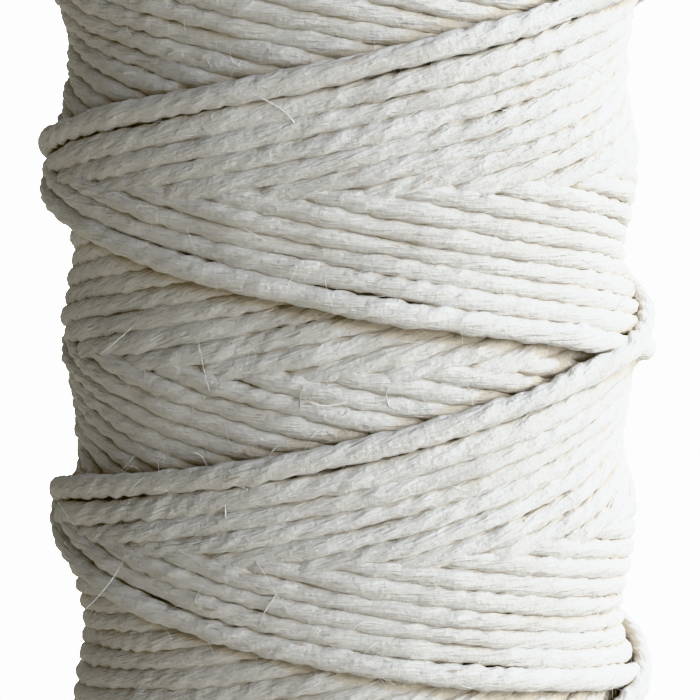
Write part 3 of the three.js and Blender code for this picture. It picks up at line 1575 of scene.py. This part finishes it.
@dataclass(frozen=True)
class Studio:
    """A pale floor, a wall of soft light to the right, weak light elsewhere, and the camera.

    Attributes:
        aim_height: The height that the camera looks at.
        distance: How far the camera stands from the axis there.
        elevation: How far it looks down.
        roll: How far it is tilted.
        focal_pixels: Its focal length in pixels of the picture.
        frame_pixels: The width of the picture.
        sensor: The width of its sensor.
        nearest: The nearest distance that it sees, in metres.
        lamps: The lamps.
        wall_light: The strength of the wall of light.
        wall_colour: Its colour.
        wall_edge: How far to the right it starts and is at its full strength, as parts of a direction.
        light_top: How high it starts to fade and has gone.
        back_light: The strength of the light from behind.
        back_edge: How far back that light starts and is at its full strength.
        around: The strength of the light from all round.
        around_colour: Its colour.
        floor_colour: The colour that the floor throws back.
        floor_glow: The light that the floor gives off.
        floor_seen: The floor's colour to the camera.
        floor_roughness: The floor's roughness.
        floor_size: Its width.
        seen_white: How bright the floor and the surrounding are to the camera.
        view_transform: How the light is turned into the picture's colours.
    """

    aim_height: float = 45.45
    distance: float = 245.0
    elevation: float = math.radians(9.35)
    roll: float = math.radians(-0.6)
    focal_pixels: float = 2730.0
    frame_pixels: float = 700.0
    sensor: float = 36.0
    nearest: float = 0.01
    lamps: tuple[Lamp, ...] = (
        Lamp("key", math.radians(130), math.radians(30), size=300.0, watts=1.7, colour=(0.98, 1.0, 1.06)),
    )
    wall_light: float = 4.45
    wall_colour: Colour = (0.966, 1.0, 1.072, 1)
    wall_edge: Span = (0.05, 0.5)
    light_top: Span = (0.3, 0.9)
    back_light: float = 0.9
    back_edge: Span = (0.2, 0.7)
    around: float = 0.034
    around_colour: Colour = (1.0, 0.96, 0.86, 1)
    floor_colour: Colour = (0.16, 0.15, 0.13, 1)
    floor_glow: Colour = (0.09, 0.0845, 0.0705, 1)
    floor_seen: Colour = (0.8, 0.8, 0.8, 1)
    floor_roughness: float = 0.9
    floor_size: float = 6000.0
    seen_white: float = 4.0
    view_transform: str = "Khronos PBR Neutral"

    def build(self) -> None:
        """Makes the floor, the lights and the camera."""
        self.floor()
        for lamp in self.lamps:
            self.light(lamp)
        self.world()
        self.camera()
        bpy.context.scene.view_settings.view_transform = self.view_transform

    def floor(self) -> None:
        """Makes the floor that the roll stands on, which looks brighter than the light it gives back."""
        bpy.ops.object.select_all(action="DESELECT")
        bpy.ops.mesh.primitive_plane_add(size=self.floor_size * MM)
        floor = bpy.context.object
        floor.name = "floor"
        material = bpy.data.materials.new("pale_floor")
        material.use_nodes = True
        board = NodeBoard(material.node_tree)
        seen = board.add("ShaderNodeLightPath").outputs["Is Camera Ray"]
        inputs = {
            "Base Color": board.mix(seen, self.floor_colour, self.floor_seen),
            "Roughness": self.floor_roughness,
            "Emission Color": board.mix(seen, self.floor_glow, WHITE),
            "Emission Strength": self.seen_white,
        }
        shader = board.add("ShaderNodeBsdfPrincipled", inputs)
        board.add("ShaderNodeOutputMaterial", {"Surface": shader.outputs[0]})
        floor.data.materials.append(material)

    def light(self, lamp: Lamp) -> None:
        """Makes a light.

        Args:
            lamp: Its size, strength and place round the middle of the roll.
        """
        data = bpy.data.lights.new(lamp.name, "AREA")
        data.energy = lamp.watts
        data.color = lamp.colour
        data.shape = "DISK"
        data.size = lamp.size * MM
        light = bpy.data.objects.new(lamp.name, data)
        bpy.context.scene.collection.objects.link(light)
        away = self.direction(lamp.azimuth, lamp.elevation)
        light.location = (Vector((0, 0, self.aim_height)) + away * lamp.distance) * MM
        light.rotation_euler = (-away).to_track_quat("-Z", "Y").to_euler()

    def world(self) -> None:
        """Makes the surrounding: a wall of light to the right, weak light elsewhere, white to the camera."""
        world = bpy.data.worlds.new("studio")
        bpy.context.scene.world = world
        world.use_nodes = True
        board = NodeBoard(world.node_tree)
        seen = board.add("ShaderNodeLightPath").outputs["Is Camera Ray"]
        direction = board.add("ShaderNodeTexCoord").outputs["Generated"]
        parts = board.add("ShaderNodeSeparateXYZ", {"Vector": direction})
        low_down = board.ramp(parts.outputs["Z"], *self.light_top, (1.0, 0.0))
        wall = board.ramp(parts.outputs["X"], *self.wall_edge, (0.0, self.wall_light))
        back = board.ramp(parts.outputs["Y"], *self.back_edge, (0.0, self.back_light))
        light = board.math("MULTIPLY_ADD", board.math("MAXIMUM", wall, back), low_down, self.around)
        unseen = board.math("MULTIPLY", light, board.math("SUBTRACT", 1.0, seen))
        strength = board.math("MULTIPLY_ADD", seen, self.seen_white, unseen)
        rightward = board.ramp(parts.outputs["X"], *self.wall_edge)
        colour = board.mix(rightward, self.around_colour, self.wall_colour)
        colour = board.mix(seen, colour, WHITE)
        background = board.add("ShaderNodeBackground", {"Color": colour, "Strength": strength})
        board.add("ShaderNodeOutputWorld", {"Surface": background.outputs[0]})

    def camera(self) -> None:
        """Makes the camera at the photograph's angle."""
        data = bpy.data.cameras.new("camera")
        data.sensor_width = self.sensor
        data.lens = data.sensor_width * self.focal_pixels / self.frame_pixels
        data.clip_start = self.nearest
        camera = bpy.data.objects.new("camera", data)
        bpy.context.scene.collection.objects.link(camera)
        away = self.direction(0, self.elevation)
        camera.location = (Vector((0, 0, self.aim_height)) + away * self.distance) * MM
        facing = (-away).to_track_quat("-Z", "Y")
        camera.rotation_euler = (facing @ Euler((0, 0, self.roll)).to_quaternion()).to_euler()
        bpy.context.scene.camera = camera

    @staticmethod
    def direction(azimuth: float, elevation: float) -> Vector:
        """Gives the direction away from the roll at an azimuth to the right of the front."""
        flat = math.cos(elevation)
        return Vector((flat * math.sin(azimuth), -flat * math.cos(azimuth), math.sin(elevation)))


def dress(piece: bpy.types.Object, material: bpy.types.Material) -> None:
    """Gives a piece its material, fixes it to the roll's body and reports it.

    Args:
        piece: The finished piece.
        material: Its finish.
    """
    piece.data.materials.clear()
    piece.data.materials.append(material)
    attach(piece, BODY)
    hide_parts(CAD_NODE)
    triangles = sum(len(face.vertices) - 2 for face in piece.data.polygons)
    LOG.info("%s: %d triangles", piece.name, triangles)


def main() -> None:
    """Builds the roll and the studio."""
    logging.basicConfig(level=logging.INFO, format="%(name)s %(message)s")
    height = (CAD_BOX[1][2] - CAD_BOX[0][2]) / MM
    twine = Twine()
    linen = LinenFinish().material()
    roll = WoundRoll(twine, height)
    shown = list(roll.shown(roll.lay()))
    # The smoothed surface that sets where the painted crevice shade falls.
    envelope = roll.surface.softened(roll.crevice_reach)
    for group in AgeGroup:
        mesh = TwineMesh(twine, envelope)
        for run in filter(group.holds, shown):
            mesh.add(run)
        dress(mesh.tubes.build(group.piece), linen)
    for end in RollEnd:
        mesh = TwineMesh(twine)
        for run in WoundEnd(twine, end, height).runs():
            mesh.add(run)
        dress(mesh.tubes.build(f"end_{end.name.lower()}"), linen)
    dress(InnerWinding(height).build(), linen)
    rng = np.random.default_rng(roll.seed)
    for name, kinds in (("fuzz", (Fuzz,)), ("stray_fibres", (StrayFibres, StandingFibres))):
        tubes = JoinedTubes(LooseFibres.sides)
        for kind in kinds:
            kind(twine, height).grow(tubes, shown, rng)
        dress(tubes.build(name), FibreFinish(name).material())
    Studio().build()


if __name__ == "__main__":
    main()
